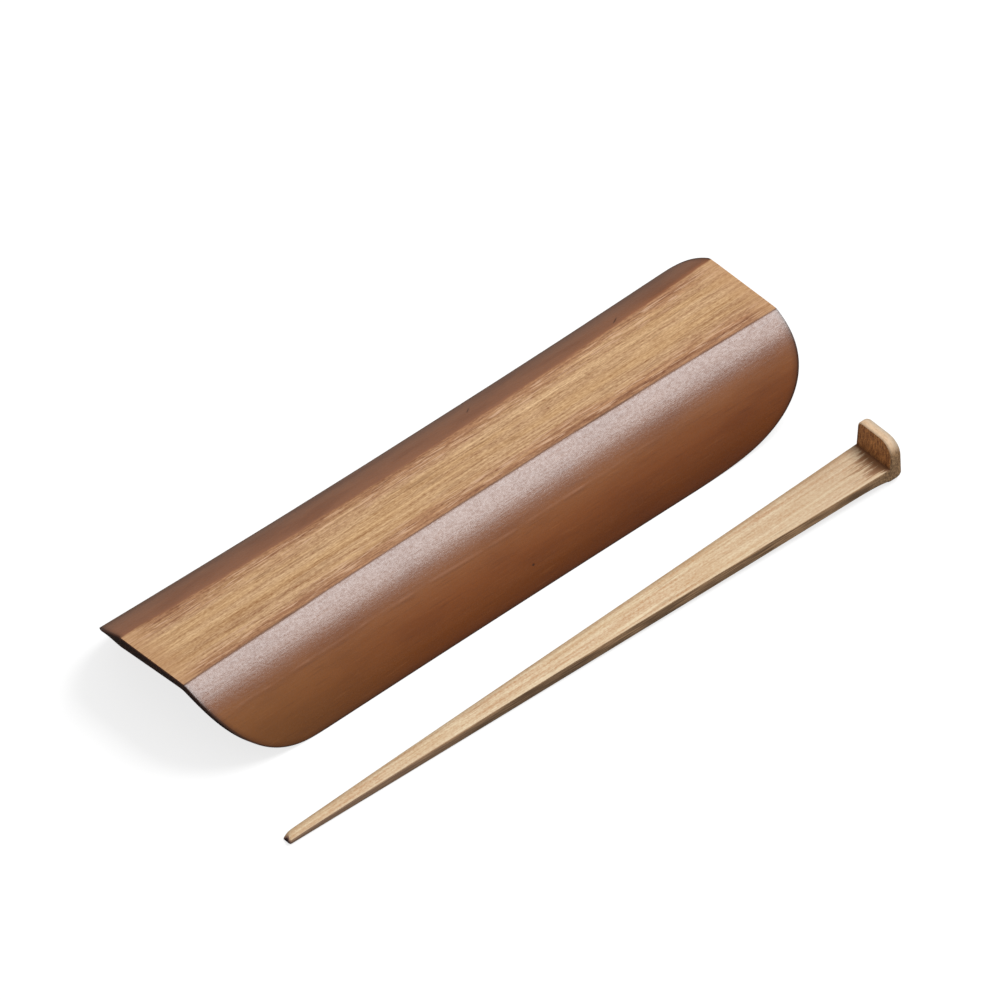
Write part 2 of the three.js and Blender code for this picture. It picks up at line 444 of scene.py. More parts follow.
def add_soft_box():
    """One large soft box overhead, whose reflection is the pale band on the scoop's near flank."""
    data = bpy.data.lights.new("soft_box", "AREA")
    data.shape = "RECTANGLE"
    data.size = BOX_LENGTH
    data.size_y = BOX_WIDTH
    data.energy = BOX_RADIANCE * math.pi * BOX_LENGTH * BOX_WIDTH
    towards = Vector(BOX_DIRECTION).normalized()
    lengthways = Vector((0, 1, 0)).cross(towards).normalized()
    crossways = towards.cross(lengthways)
    turn = Matrix((lengthways, crossways, towards)).transposed().to_4x4()
    new_object("soft_box", data).matrix_world = Matrix.Translation(towards * BOX_DISTANCE) @ turn


def add_grey_tent():
    """Grey cloth round the table that only the lacquer's reflections see, so that they stay dim beside
    the soft box's, as in the photograph."""
    half = TENT_SIZE / 2
    corners = level_square(half, TENT_FLOOR) + level_square(half, half)
    sides = [(0, 1, 2, 3), (7, 6, 5, 4), (0, 4, 5, 1), (1, 5, 6, 2), (2, 6, 7, 3), (3, 7, 4, 0)]
    mesh = bpy.data.meshes.new("grey_tent")
    mesh.from_pydata(corners, [], sides)
    material, tree = new_material("grey_cloth")
    cloth = tree.add("ShaderNodeEmission", {"Color": (1, 1, 1, 1), "Strength": TENT_GREY})
    tree.add("ShaderNodeOutputMaterial", {"Surface": cloth})
    material.cycles.emission_sampling = "NONE"
    mesh.materials.append(material)
    tent = new_object("grey_tent", mesh)
    for rays in ("camera", "diffuse", "shadow", "transmission", "volume_scatter"):
        setattr(tent, "visible_" + rays, False)


# Scoop's shell

SHELL_INPUTS = {
    "Length": SCOOP_LENGTH,
    "Culm Radius": CULM_RADIUS,
    "Axis Depth": CULM_AXIS_DEPTH,
    "Flare": CULM_FLARE,
    "Facet Cut": FACET_CUT,
    "Crown Wall": CROWN_WALL,
    "Crown Lean": CROWN_LEAN,
    "Foot Wall": FOOT_WALL,
    "Crease Ease": CREASE_EASE,
    "Crease Wander": CREASE_WANDER,
    "Far Sag": FAR_SAG,
    "Far Skew": FAR_SKEW,
    "Far Flare": FAR_FLARE,
    "Far Slack": FAR_SLACK,
    "Far Wall": FAR_WALL,
    "Head Corner": HEAD_CORNER,
    "Head Fullness": HEAD_FULLNESS,
    "Tail Corner": TAIL_CORNER,
    "Tail Fullness": TAIL_FULLNESS,
    "Tail Excess": TAIL_EXCESS,
    "Tail Slant": TAIL_SLANT,
    "Tail Thinning": TAIL_THINNING,
}
STATIONS = 18  # lengthways
FACET_STEPS = 2  # from the crown's middle to a crease
FLANK_STEPS = 8  # from a crease to the foot
ROWS = 2 * (FACET_STEPS + 1 + FLANK_STEPS) + 1
RIM_SEGMENTS = 2
SMOOTHING_LEVELS = 3
WANDER_SEED = 4.7
NEAR_EXCESS_FADE = 4  # how soon the tail's excess ends down the near flank
FAR_EXCESS_FADE = 1
SHOULDER_FADE = 4  # how soon the far shoulder's unevenness ends down the flank
SLACK_FADE = 1.35  # how soon the far flank's slack ends toward the tail and the head
THINNING_ONSET = 0.3  # less lets the tail's thinning begin nearer the crease


def unrolled_grid(tree, across, down, place):
    """A grid whose points are put at (reach, row, side): reach is 0 at the tail and 1 at the head, row
    counts from the near foot to the far one, and side is 0 on the skin and 1 on the hollow's wall."""
    grid = tree.add("GeometryNodeMeshGrid", {"Vertices X": across, "Vertices Y": down})
    index = tree.add("GeometryNodeInputIndex")
    column = ((index + 0.5) / down).math("FLOOR")
    step = index - column * down
    spot = tree.vector(*place(column, step))
    return tree.add("GeometryNodeSetPosition", {"Geometry": grid, "Position": spot})


def shell_loop(column, step):
    """Skin from near foot to far foot, and back over the hollow's wall."""
    on_hollow = (step > ROWS - 0.5) * (step < 2 * ROWS - 0.5)
    row = on_hollow.blend(step, 2 * ROWS - 1 - step) * (step < 2 * ROWS - 0.5)
    return column / (STATIONS - 1), row, on_hollow


def shell_ends(size, flank, far, side_place):
    """Where the tail and the head end, from the tail's end of the plain culm on."""
    def setback(corner, fullness):
        return corner * (1 - (1 - flank ** fullness) ** (1 / fullness))

    excess = size["Tail Excess"] + size["Tail Slant"] * side_place
    excess = excess * (1 - flank) ** far.blend(NEAR_EXCESS_FADE, FAR_EXCESS_FADE)
    tail = setback(size["Tail Corner"], size["Tail Fullness"]) - excess
    head = size["Length"] - setback(size["Head Corner"], size["Head Fullness"])
    return tail, head


def skin_radius(tree, size, along, flank, far, sign):
    """The culm's radius, with its flare and its small uneven places."""
    way = along / (size["Length"] / 2)
    ripple = tree.noise(along / WANDER_LENGTH, sign, WANDER_SEED, detail=1)
    wander = size["Crease Wander"] * ripple.centred() * (1 - flank)
    shoulder = size["Far Skew"] * way + size["Far Flare"] * way * way - size["Far Sag"]
    slack = size["Far Slack"] * 4 * flank * (1 - flank) * (1 - SLACK_FADE * way * way)
    uneven = far * ((1 - flank) ** SHOULDER_FADE * shoulder - slack)
    return size["Culm Radius"] + size["Flare"] * way * way + uneven + wander


def depth_in_wall(size, reach, side, flank, far, side_place):
    """How far under the skin a point lies: 0 on the skin, the wall's thickness on the hollow."""
    crown_wall = size["Crown Wall"] + size["Crown Lean"] * side_place
    foot_wall = far.blend(size["Foot Wall"], size["Far Wall"])
    at_tail = (1 - reach * (STATIONS - 1)).held()
    thinning = 1 - far * at_tail * size["Tail Thinning"] * flank ** THINNING_ONSET
    return side * flank.math("SQRT").blend(crown_wall, foot_wall) * thinning


def place_on_shell(tree, size, spot):
    """Where a point (reach, row, side) of the unrolled shell lies."""
    reach, row, side = tree.parts(spot)
    count = row - (ROWS - 1) / 2
    steps = abs(count)
    sign = count.math("SIGN")
    far = sign > 0
    across_facet = (steps / FACET_STEPS).held()
    past_crease = (steps - FACET_STEPS).held()
    down_flank = ((steps - FACET_STEPS - 1) / FLANK_STEPS).held()
    flank = (down_flank * (math.pi / 2)).math("SINE")
    side_place = sign * across_facet

    tail, head = shell_ends(size, flank, far, side_place)
    along = reach.blend(tail, head) - size["Length"] / 2
    depth = depth_in_wall(size, reach, side, flank, far, side_place)
    radius = skin_radius(tree, size, along, flank, far, sign) - depth
    facet = size["Culm Radius"] - size["Facet Cut"] - depth
    crease = (facet / radius).math("ARCCOSINE")
    foot = (size["Axis Depth"] / radius).math("ARCCOSINE")
    ease = size["Crease Ease"] / radius
    angle = across_facet * (crease - ease) + past_crease * 2 * ease + flank * (foot - crease - ease)
    rise = angle.math("COSINE")
    arm = (facet / rise).lowest(radius)
    aside = arm * (angle * sign).math("SINE")
    up = arm * rise - size["Axis Depth"]
    return tree.vector(along + SCOOP_CENTRE.x, aside + SCOOP_CENTRE.y, up)


def shell_tree(skin, hollow, end_grain):
    """Geometry nodes of the scoop: three unrolled grids, joined, and then bent to the culm's form."""
    group = bpy.data.node_groups.new("scoop_shell", "GeometryNodeTree")
    group.interface.new_socket("Geometry", in_out="OUTPUT", socket_type="NodeSocketGeometry")
    for name in SHELL_INPUTS:
        group.interface.new_socket(name, in_out="INPUT", socket_type="NodeSocketFloat")
    tree = Tree(group)
    given = tree.add("NodeGroupInput").socket.node.outputs
    size = {name: Wire(tree, given[name]) for name in SHELL_INPUTS}

    loop = unrolled_grid(tree, STATIONS, 2 * ROWS + 1, shell_loop)
    tail = unrolled_grid(tree, ROWS, 2, lambda row, side: (0, row, side))
    head = unrolled_grid(tree, ROWS, 2, lambda row, side: (1, row, 1 - side))
    shell = tree.add("GeometryNodeJoinGeometry")
    for grid in (head, tail, loop):
        tree.links.new(grid.socket, shell.socket.node.inputs[0])
    shell = tree.add("GeometryNodeMergeByDistance", {"Geometry": shell})

    # Side is 0 on the skin, 1 on the hollow's wall, and between them on the end faces
    spot = tree.add("GeometryNodeInputPosition")
    settings = {"data_type": "FLOAT", "domain": "FACE"}
    values = {"Geometry": shell, "Name": "side", "Value": tree.parts(spot)[2]}
    shell = tree.add("GeometryNodeStoreNamedAttribute", values, settings)
    values = {"Geometry": shell, "Position": place_on_shell(tree, size, spot)}
    shell = tree.add("GeometryNodeSetPosition", values)
    shell = tree.add("GeometryNodeRealizeInstances", {"Geometry": shell})
    side = tree.add("GeometryNodeInputNamedAttribute", {"Name": "side"}, {"data_type": "FLOAT"})
    for material, chosen in ((end_grain, side > 0.25), (skin, side < 0.25), (hollow, side > 0.75)):
        values = {"Geometry": shell, "Selection": chosen, "Material": material}
        shell = tree.add("GeometryNodeSetMaterial", values)
    tree.add("NodeGroupOutput", {"Geometry": shell})
    return group


def grow(name, group, sizes):
    """Object with the plain mesh that a node tree makes with these sizes."""
    piece = new_object(name, bpy.data.meshes.new(name))
    modifier = piece.modifiers.new("shape", "NODES")
    modifier.node_group = group
    for item in group.interface.items_tree:
        if item.in_out == "INPUT":
            modifier[item.identifier] = sizes[item.name]
    keep_evaluated_mesh(piece)
    return piece


def keep_evaluated_mesh(piece):
    """Puts the mesh that a piece's modifiers make in the place of its own, and removes them."""
    depsgraph = bpy.context.evaluated_depsgraph_get()
    mesh = bpy.data.meshes.new_from_object(piece.evaluated_get(depsgraph))
    piece.modifiers.clear()
    piece.data = mesh


def make_scoop():
    shell = shell_tree(skin_material(), hollow_material(), end_grain_material())
    scoop = grow("scoop", shell, SHELL_INPUTS)
    scoop.data.shade_smooth()
    rim = scoop.modifiers.new("rim", "BEVEL")
    rim.limit_method = "ANGLE"
    rim.angle_limit = RIM_ANGLE
    rim.width = RIM_ROUND
    rim.segments = RIM_SEGMENTS
    smooth = scoop.modifiers.new("smooth", "SUBSURF")
    smooth.levels = SMOOTHING_LEVELS
    smooth.render_levels = SMOOTHING_LEVELS
    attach(scoop, "scoop")
    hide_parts("scoop_body")


# Pick

STRIP_STATIONS = 60  # from the tip to the swelling below the node
SWELL_STATIONS = 14  # along the swelling
STRIP_CORNER_STEPS = 4
TAB_CORNER_STEPS = 10
TAB_RIM_STEPS = 4
SHARP_EDGE = math.radians(32)

# How squarely a face has to look out of the tip, the tab or the strip's top to have its finish
TIP_FACING = 0.4
DIAPHRAGM_FACING = 0.9
TOP_FACING = 0.6

REGION_MARGIN = 0.05 * MM


def between(low, high, share):
    """low where the share is 0, high where it is 1."""
    return low + (high - low) * share


def strip_half_width(distance):
    return between(PICK_TIP_WIDTH, PICK_HEAD_WIDTH, (distance / TAB_START) ** PICK_TAPER) / 2


def strip_underside(distance):
    return NODE_DROP * (distance / TAB_START) ** NODE_DROP_BOW


def strip_top(distance):
    share = distance / TAB_START
    thickness = between(PICK_TIP_THICKNESS, PICK_HEAD_THICKNESS, 1 - (1 - share) ** PICK_THICKENING)
    return strip_underside(distance) + thickness + PICK_FULLNESS * 4 * share * (1 - share)


def strip_swell(distance):
    """0 before the swelling below the node, 1 at the node."""
    into = min(max((distance - TAB_START + NODE_REACH) / NODE_REACH, 0), 1)
    return into ** NODE_SWELL


def strip_bottom(distance):
    return strip_underside(distance) * (1 - strip_swell(distance))


def rounded_outline(low, high, rounds, steps, inset=0):
    """Points round a rectangle with rounded corners, seen along +X. The rounds are given from the near
    lower corner on, by way of the far side."""
    corners = (
        (low[0], low[1], 1, 1),
        (high[0], low[1], -1, 1),
        (high[0], high[1], -1, -1),
        (low[0], high[1], 1, -1),
    )
    points = []
    for corner, (y, z, turn_y, turn_z) in enumerate(corners):
        radius = max(rounds[corner] - inset, SMALLEST_ROUND)
        for step in range(steps + 1):
            angle = math.pi + (corner + step / steps) * math.pi / 2
            points.append((
                y + turn_y * (inset + radius) + radius * math.cos(angle),
                z + turn_z * (inset + radius) + radius * math.sin(angle),
            ))
    return points


def mesh_of_loops(name, loops, first_faces):
    """Closed mesh through loops of points that follow each other along +X, with these faces at its start."""
    count = len(loops[0])
    faces = []
    for start in range(0, (len(loops) - 1) * count, count):
        for here in range(count):
            beside = (here + 1) % count
            faces.append((start + here, start + beside, start + count + beside, start + count + here))
    points = [point for loop in loops for point in loop]
    last = len(points) - count
    faces += first_faces
    faces.append(tuple(range(last, len(points))))
    mesh = bpy.data.meshes.new(name)
    mesh.from_pydata(points, [], faces)
    return mesh


def strip_distances():
    """Stations along the strip past its tip, closer together below the node, and one inside the tab."""
    swell_start = TAB_START - NODE_REACH
    distances = [swell_start * i / STRIP_STATIONS for i in range(1, STRIP_STATIONS)]
    distances += [swell_start + NODE_REACH * i / SWELL_STATIONS for i in range(SWELL_STATIONS)]
    return distances + [TAB_START, TAB_START + TAB_BURIED]


def strip_loop(distance):
    """The strip's outline at a station, its upper edges worn rounder toward the tip."""
    reach = min(distance, TAB_START)
    half = strip_half_width(reach)
    low, high = strip_bottom(reach), strip_top(reach)
    worn = min(reach / TIP_SOFTENING, 1)
    far_round = between(PICK_TIP_EDGE_ROUND, PICK_EDGE_ROUND, worn)
    near_round = between(PICK_TIP_EDGE_ROUND, PICK_NEAR_ROUND, worn)
    lower_round = between(far_round, RIDGE_ROUND, strip_swell(reach))
    rounds = (lower_round, lower_round, far_round, near_round)
    outline = rounded_outline((-half, low), (half, high), rounds, STRIP_CORNER_STEPS)
    return [(distance, y, z) for y, z in outline]


def tip_loop(share):
    """One outline round the tip's edge, from the end face at share 0 to the full strip at 1."""
    half = strip_half_width(0)
    low, high = strip_bottom(0), strip_top(0)
    angle = math.pi / 2 * (1 - share)
    distance = TIP_ROUND * (1 - math.sin(angle))
    inset = TIP_ROUND * (1 - math.cos(angle))
    rounds = [PICK_TIP_EDGE_ROUND] * 4
    loop = []
    for y, z in rounded_outline((-half, low), (half, high), rounds, STRIP_CORNER_STEPS, inset):
        far_and_high = (y + half) / (2 * half) + (z - low) / (high - low) - 1
        loop.append((distance + TIP_PARING * max(far_and_high, 0), y, z))
    return loop


def strip_mesh():
    """The tapered strip, its tip rounded, and pared on the far upper side."""
    loops = [tip_loop(step / STRIP_CORNER_STEPS) for step in range(STRIP_CORNER_STEPS + 1)]
    loops += [strip_loop(distance) for distance in strip_distances()]

    # The paring folds the end face, from the middle of the far lower corner to the near upper one's
    corner = STRIP_CORNER_STEPS + 1
    far_fold = corner + STRIP_CORNER_STEPS // 2
    near_fold = 3 * corner + STRIP_CORNER_STEPS // 2
    lower_end = list(range(near_fold, 4 * corner)) + list(range(far_fold + 1))
    upper_end = list(range(far_fold, near_fold + 1))
    return mesh_of_loops("strip", loops, [tuple(reversed(lower_end)), tuple(reversed(upper_end))])


def rim_levels(size):
    """How deep each ring of a rounded rim lies, and how far inside the outline."""
    levels = [(0, size + RIM_MARGIN)]
    for step in range(TAB_RIM_STEPS, -1, -1):
        angle = math.pi / 2 * step / TAB_RIM_STEPS
        levels.append((size * (1 - math.sin(angle)), size * (1 - math.cos(angle))))
    return levels


def tab_mesh():
    """The diaphragm and the ridge below it: thinner toward its top, leaning, its rims rounded."""
    half = strip_half_width(TAB_START) + TAB_OVERHANG
    top = strip_top(TAB_START) + TAB_HEIGHT
    rounds = (RIDGE_ROUND, RIDGE_ROUND, TAB_FAR_ROUND, TAB_NEAR_ROUND)
    levels = rim_levels(TAB_INNER_ROUND)
    levels += [(TAB_THICKNESS - depth, inset) for depth, inset in reversed(rim_levels(TAB_OUTER_ROUND))]
    loops = []
    for depth, inset in levels:
        loop = []
        for y, z in rounded_outline((-half, 0), (half, top), rounds, TAB_CORNER_STEPS, inset):
            inner = TAB_LEAN * z / top - TAB_TOE
            thickness = between(TAB_FOOT_THICKNESS, TAB_TOP_THICKNESS, z / top)
            loop.append((TAB_START + inner + depth * thickness / TAB_THICKNESS, y, z))
        loops.append(loop)
    return mesh_of_loops("diaphragm", loops, [tuple(reversed(range(len(loops[0]))))])


def make_pick():
    pick = new_object("pick", strip_mesh())
    tab = new_object("tab", tab_mesh())
    union = pick.modifiers.new("union", "BOOLEAN")
    union.operation = "UNION"
    union.solver = "EXACT"
    union.object = tab
    keep_evaluated_mesh(pick)
    bpy.data.objects.remove(tab)
    finishes = {
        "face": pick_face_material(),
        "side": pick_side_material(),
        "diaphragm": diaphragm_material(),
        "rim": tab_rim_material(),
        "tip": tip_material(),
    }
    mesh = pick.data
    mesh.materials.clear()
    for material in finishes.values():
        mesh.materials.append(material)
    for face in mesh.polygons:
        face.material_index = list(finishes).index(pick_region(face.normal, face.center))
    mesh.transform(Matrix.Translation(PICK_TIP) @ Matrix.Rotation(PICK_YAW, 4, "Z"))
    mesh.shade_smooth()
    mesh.set_sharp_from_angle(angle=SHARP_EDGE)
    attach(pick, "pick")
    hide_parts("tea_pick")


def pick_region(normal, centre):
    """Which finish a face of the pick has."""
    if centre.x < TIP_PARING + TIP_ROUND and normal.x < -TIP_FACING:
        return "tip"
    above_strip = centre.z > strip_top(min(max(centre.x, 0), TAB_START)) + REGION_MARGIN
    if centre.x > TAB_START - REGION_MARGIN or above_strip:
        return "diaphragm" if abs(normal.x) > DIAPHRAGM_FACING else "rim"
    return "face" if normal.z > TOP_FACING else "side"


# Finishes, whose sizes are in millimetres

HALF_LENGTH = SCOOP_LENGTH / MM / 2
RADIUS = CULM_RADIUS / MM
FLARE = CULM_FLARE / MM
FACET_LEVEL = (CULM_RADIUS - FACET_CUT) / MM  # over the culm's axis
CREASE = FACET_ANGLE * RADIUS  # round the skin, from the crown's middle to a crease
GIRTH = FOOT_ANGLE * RADIUS - CREASE  # and from there to a foot
FEATHERING = 8  # how strongly the fibres draw the facet's stain in and out
PARTING_BELOW = 20.9  # a faint line's place round the near skin
RIM_BROWN_BELOW, RIM_PALE_ABOVE = 8.5, 10.9  # heights on the tab's rim
SPOT_ACROSS, SPOT_UP = -0.25, 0.2  # the dark spot's middle on the tip


def on_piece(tree, centre, turn=0):
    """Object coordinates in millimetres from a piece's own middle, turned with it."""
    place = tree.add("ShaderNodeTexCoord", output="Object")
    values = {"Vector": place, "Location": centre, "Rotation": (0, 0, turn), "Scale": (MM, MM, MM)}
    return tree.parts(tree.add("ShaderNodeMapping", values, {"vector_type": "TEXTURE"}))


def fibres(along, across, length, width, seed, detail=2, roughness=0.5):
    """Noise drawn out along the grain, each streak about this long and wide in millimetres."""
    return along.tree.noise(along / length, across / width, seed, detail, roughness)


def round_the_culm(tree):
    """Place on the scoop in millimetres: along it, round the skin from the crown's middle to the far side,
    how deep below the round skin, and how far below the facet's level."""
    along, aside, up = on_piece(tree, SCOOP_CENTRE)
    arm = up + CULM_AXIS_DEPTH / MM
    angle = aside.math("ARCTAN2", arm)
    way = along / HALF_LENGTH
    depth = RADIUS + FLARE * way * way - (aside * aside + arm * arm).math("SQRT")
    return along, angle * RADIUS, depth, SCOOP_HIGH[2] / MM - up


def to_crease(radius):
    """Round the skin from the crown's middle to a crease, where the culm has this radius."""
    return (FACET_LEVEL / radius).math("ARCCOSINE") * RADIUS


def from_far_crease(along, round_skin):
    """Millimetres from the facet's far edge in towards its middle."""
    way = along / HALF_LENGTH
    radius = RADIUS - FAR_SAG / MM + FAR_SKEW / MM * way + (FLARE + FAR_FLARE / MM) * way * way
    return to_crease(radius) - round_skin


def from_near_crease(along, round_skin):
    """Millimetres from the facet's near edge in towards its middle."""
    way = along / HALF_LENGTH
    return to_crease(RADIUS + FLARE * way * way) + round_skin


def from_cut_edge(along, round_skin):
    """Millimetres from the scoop's cut outline, about."""
    into = ((abs(round_skin) - CREASE) / GIRTH).held()

    def inside(from_end, corner, fullness):
        near_end = (1 - from_end / (corner / MM)).held()
        return (1 - (near_end ** fullness + into ** fullness) ** (1 / fullness)) * GIRTH

    side_place = (round_skin / CREASE).highest(-1).lowest(1)
    excess = (TAIL_EXCESS / MM + TAIL_SLANT / MM * side_place) * (1 - into)
    tail = inside(along + HALF_LENGTH + excess, TAIL_CORNER, TAIL_FULLNESS)
    head = inside(HALF_LENGTH - along, HEAD_CORNER, HEAD_FULLNESS)
    return tail.lowest(head)


def contour(noise, level, width):
    """1 where a noise passes this level, so that drawn-out noise gives long thin lines."""
    return abs(noise - level).rise(width, 0)


def mark(along, round_skin, place, length, width, lean=0):
    """One small dark mark: 1 in its middle and 0 outside it."""
    forth = along - place[0]
    across = round_skin - place[1] - forth * lean
    return ((forth / length) ** 2 + (across / width) ** 2).rise(1, 0.2)


def planed_wood(tree, along, round_skin):
    """Colour of the planed facet: pale fibres and long dark lines, with stain along both edges."""
    bands = fibres(along, round_skin, length=110, width=0.82, seed=2.1, detail=3, roughness=0.6)
    strands = fibres(along, round_skin, length=5, width=0.46, seed=1.3, detail=3, roughness=0.65)
    grit = fibres(along, round_skin, length=1.1, width=0.33, seed=4.9, roughness=0.6)
    tone = (0.49 + bands.centred() * 1.1 + strands.centred() * 0.9 + grit.centred() * 1.1).held()
    colour = tree.tint(tone, FACET_DARK, FACET_PALE)
    drift = fibres(along, round_skin, length=48, width=3, seed=5.9)
    colour = tree.tint(drift.rise(0.4, 0.66) * 0.2, colour, FACET_GOLD)

    thread = fibres(along, round_skin, length=60, width=1.5, seed=7.3)
    lines = contour(thread, level=0.5, width=0.03).highest(contour(thread, level=0.38, width=0.022))
    broken = fibres(along, round_skin, length=9, width=1.6, seed=4.6).rise(0.38, 0.6)
    colour = tree.tint(lines * broken * 0.5, colour, FACET_LINE)
    return edge_stain(tree, along, round_skin, colour, tone), strands


def edge_stain(tree, along, round_skin, colour, tone):
    """The facet's colour with the stain that has drawn in along the fibres from its two edges."""
    far = from_far_crease(along, round_skin)
    near = from_near_crease(along, round_skin)
    feather = fibres(along, round_skin, length=15, width=0.8, seed=3.4, detail=4, roughness=0.65)
    feather = feather.centred()
    patches = fibres(along, round_skin, length=16, width=5, seed=9.2).rise(0.3, 0.7)
    head_end = (along / (SCOOP_LENGTH / MM)).rise(-0.1, 0.5)
    far_stain = (far + feather * FEATHERING - patches * 1.8).rise(4.6, -0.6)
    near_stain = (near + feather * FEATHERING - patches * 1.4 - head_end.blend(0.5, 1.8)).rise(4, -0.6)
    from_end = HALF_LENGTH - abs(along) + feather * 3
    inner = from_end.rise(1, 8)
    stained = tree.tint(tone, STAINED_DARK, STAINED_PALE)
    colour = tree.tint(far_stain.highest(near_stain) * inner.blend(0.3, 0.86), colour, stained)
    stain_thread = fibres(along, round_skin, length=18, width=0.6, seed=6.1)
    stain_lines = contour(stain_thread, level=0.52, width=0.03)
    at_edges = near.lowest(far)
    colour = tree.tint(stain_lines * at_edges.rise(3.8, 0.6) * inner * 0.6, colour, STAIN_LINE)
    dashes = fibres(along, round_skin, length=6, width=0.34, seed=8.8).rise(0.53, 0.64)
    colour = tree.tint(dashes * at_edges.rise(6.2, 3) * at_edges.rise(0.4, 1.4) * 0.7, colour, STAIN_DASH)
    colour = tree.tint((1 - inner) * 0.45, colour, FACET_END)
    return tree.tint(near.rise(0.42, 0.05) * 0.75, colour, NEAR_CREASE)


def stained_skin(tree, along, round_skin):
    """Colour of the stained skin: mauve brown at the shoulders, ochre brown lower down."""
    streaks = fibres(along, round_skin, length=40, width=1.4, seed=3.8, detail=3)
    down = (abs(round_skin) - CREASE) / GIRTH + streaks.centred() * 0.16
    near_side = tree.add("ShaderNodeValToRGB", {0: down}, {"stops": NEAR_FLANK})
    far_side = tree.tint(down.rise(0, 0.5), FAR_SHOULDER, FAR_FLANK)
    far_side = tree.tint(down.rise(0.5, 0.85), far_side, FAR_FOOT)
    far_side = tree.tint(along.rise(20, 84) * down.rise(0.25, 0) * 0.4, far_side, FAR_HEAD)
    colour = tree.tint(round_skin.rise(-1, 1), near_side, far_side)

    # Clouds, redder and darker to the head, paler to the tail
    cloud = fibres(along, round_skin, length=22, width=6, seed=2.2, detail=4, roughness=0.55)
    colour = tree.tint(cloud.rise(0.42, 0.72) * 0.3, colour, SKIN_CLOUD)
    head_end = (along / (SCOOP_LENGTH / MM)).rise(-0.2, 0.5)
    colour = tree.tint(head_end * down.rise(0.2, 0.9) * 0.4, colour, SKIN_HEAD)
    tail_end = along.rise(-20, -84)
    colour = tree.tint(tail_end * down.rise(0.25, 0.6) * 0.4, colour, SKIN_TAIL)
    fine = fibres(along, round_skin, length=9, width=0.4, seed=5.1, detail=3, roughness=0.6)
    colour = tree.tint(fine.rise(0.55, 0.75) * 0.28, colour, SKIN_DARK_FIBRE)
    colour = tree.tint(fine.rise(0.42, 0.25) * 0.16, colour, SKIN_PALE_FIBRE)
    colour = parted_and_marked(tree, along, round_skin, colour)

    # Darker toward the cut outline, with a thin line right at it: partly stain, partly painted shade on the
    # rounded edge
    edge = from_cut_edge(along, round_skin)
    colour = tree.tint(edge.rise(1.7, 0.1) * 0.45, colour, SKIN_EDGE_STAIN_AND_SHADE)
    return tree.tint(edge.rise(0.5, 0.15) * 0.7, colour, SKIN_OUTLINE_STAIN_AND_SHADE), fine


def parted_and_marked(tree, along, round_skin, colour):
    """The skin's colour with one faint long line where two fibres part, and a few small marks."""
    waver = fibres(along, 0, length=30, width=1, seed=8.3).centred() * 1.6
    line = round_skin + PARTING_BELOW + waver
    fade = fibres(along, 0, length=9, width=1, seed=6.8, detail=3).rise(0.3, 0.7) * along.rise(62, 20)
    colour = tree.tint(abs(line).rise(0.5, 0.05) * fade * 0.3, colour, PARTING_PALE)
    colour = tree.tint(abs(line + 0.6).rise(0.5, 0.05) * fade * 0.3, colour, PARTING_DARK)
    marks = mark(along, round_skin, place=(1.9, -30.4), length=0.5, width=0.36)
    marks = marks.highest(mark(along, round_skin, place=(17, 14.8), length=1.3, width=0.3, lean=0.9))
    marks = marks.highest(mark(along, round_skin, place=(60.5, 12.3), length=1.5, width=0.32, lean=0.7))
    return tree.tint(marks * 0.75, colour, SKIN_MARK)


def skin_material():
    """Stained and lacquered skin, and the planed facet where the pale wood shows."""
    material, tree = new_material("lacquered_skin")
    along, round_skin, _, below_facet = round_the_culm(tree)

    # How far the plane went: a clean edge on the near side, ragged along the fibres on the far one
    ragged = fibres(along, round_skin, length=6, width=0.7, seed=3.1, detail=3, roughness=0.6)
    far_side = round_skin.rise(-1, 3)
    reached = (from_far_crease(along, round_skin) + ragged.centred() * 1.3).rise(0.05, 0.5)
    planed = below_facet.rise(0.14, 0.07) * far_side.blend(1, reached)

    wood, wood_fibres = planed_wood(tree, along, round_skin)
    skin, skin_fibres = stained_skin(tree, along, round_skin)
    peel = tree.noise(along / 0.8, round_skin / 0.6, 0.7, detail=3, roughness=0.65)
    height = planed.blend(peel * 0.035 + skin_fibres * 0.02, wood_fibres * 0.03)
    close_material(tree, {
        "Base Color": tree.tint(planed, skin, wood),
        "Roughness": planed.blend(0.3, 0.5),
        "Normal": tree.relief(height),
        "Coat Weight": (1 - planed) * (0.61 + peel.centred() * 2.5 + skin_fibres.centred() * 0.9).held(),
        "Coat Roughness": 0.32,
    })
    return material


def hollow_material():
    """The hollow's wall, stained like the skin, with the fibres showing."""
    material, tree = new_material("stained_hollow")
    along, round_skin, _, _ = round_the_culm(tree)
    fine = fibres(along, round_skin, length=14, width=0.5, seed=7.7, detail=3, roughness=0.6)
    broad = fibres(along, round_skin, length=50, width=4, seed=4.4)
    colour = tree.tint(fine.rise(0.35, 0.65), HOLLOW_DARK, HOLLOW_PALE)
    colour = tree.tint(broad.rise(0.4, 0.6) * 0.4, colour, HOLLOW_CLOUD)
    close_material(tree, {"Base Color": colour, "Roughness": 0.45, "Normal": tree.relief(fine * 0.05)})
    return material


def end_grain_material():
    """Cut ends and rims, where the stain has gone in darkest, darkened further with painted shade."""
    material, tree = new_material("dark_end_grain")
    along, round_skin, depth, below_facet = round_the_culm(tree)
    bundles = tree.noise(along / 3, round_skin / 0.5, depth / 0.5)
    # the end grain's dark is partly stain, partly painted shade
    colour = tree.tint(bundles.rise(0.45, 0.7), END_STAIN_AND_SHADE, END_BUNDLE)
    inside = depth.lowest(below_facet)
    colour = tree.tint(inside.rise(0.75, 0.1) * 0.8, colour, END_RIM)
    close_material(tree, {"Base Color": colour, "Roughness": 0.5})
    return material


def on_pick(tree):
    """Place on the pick in millimetres: along it from its tip, across it to the far side, and up."""
    return on_piece(tree, PICK_TIP, PICK_YAW)


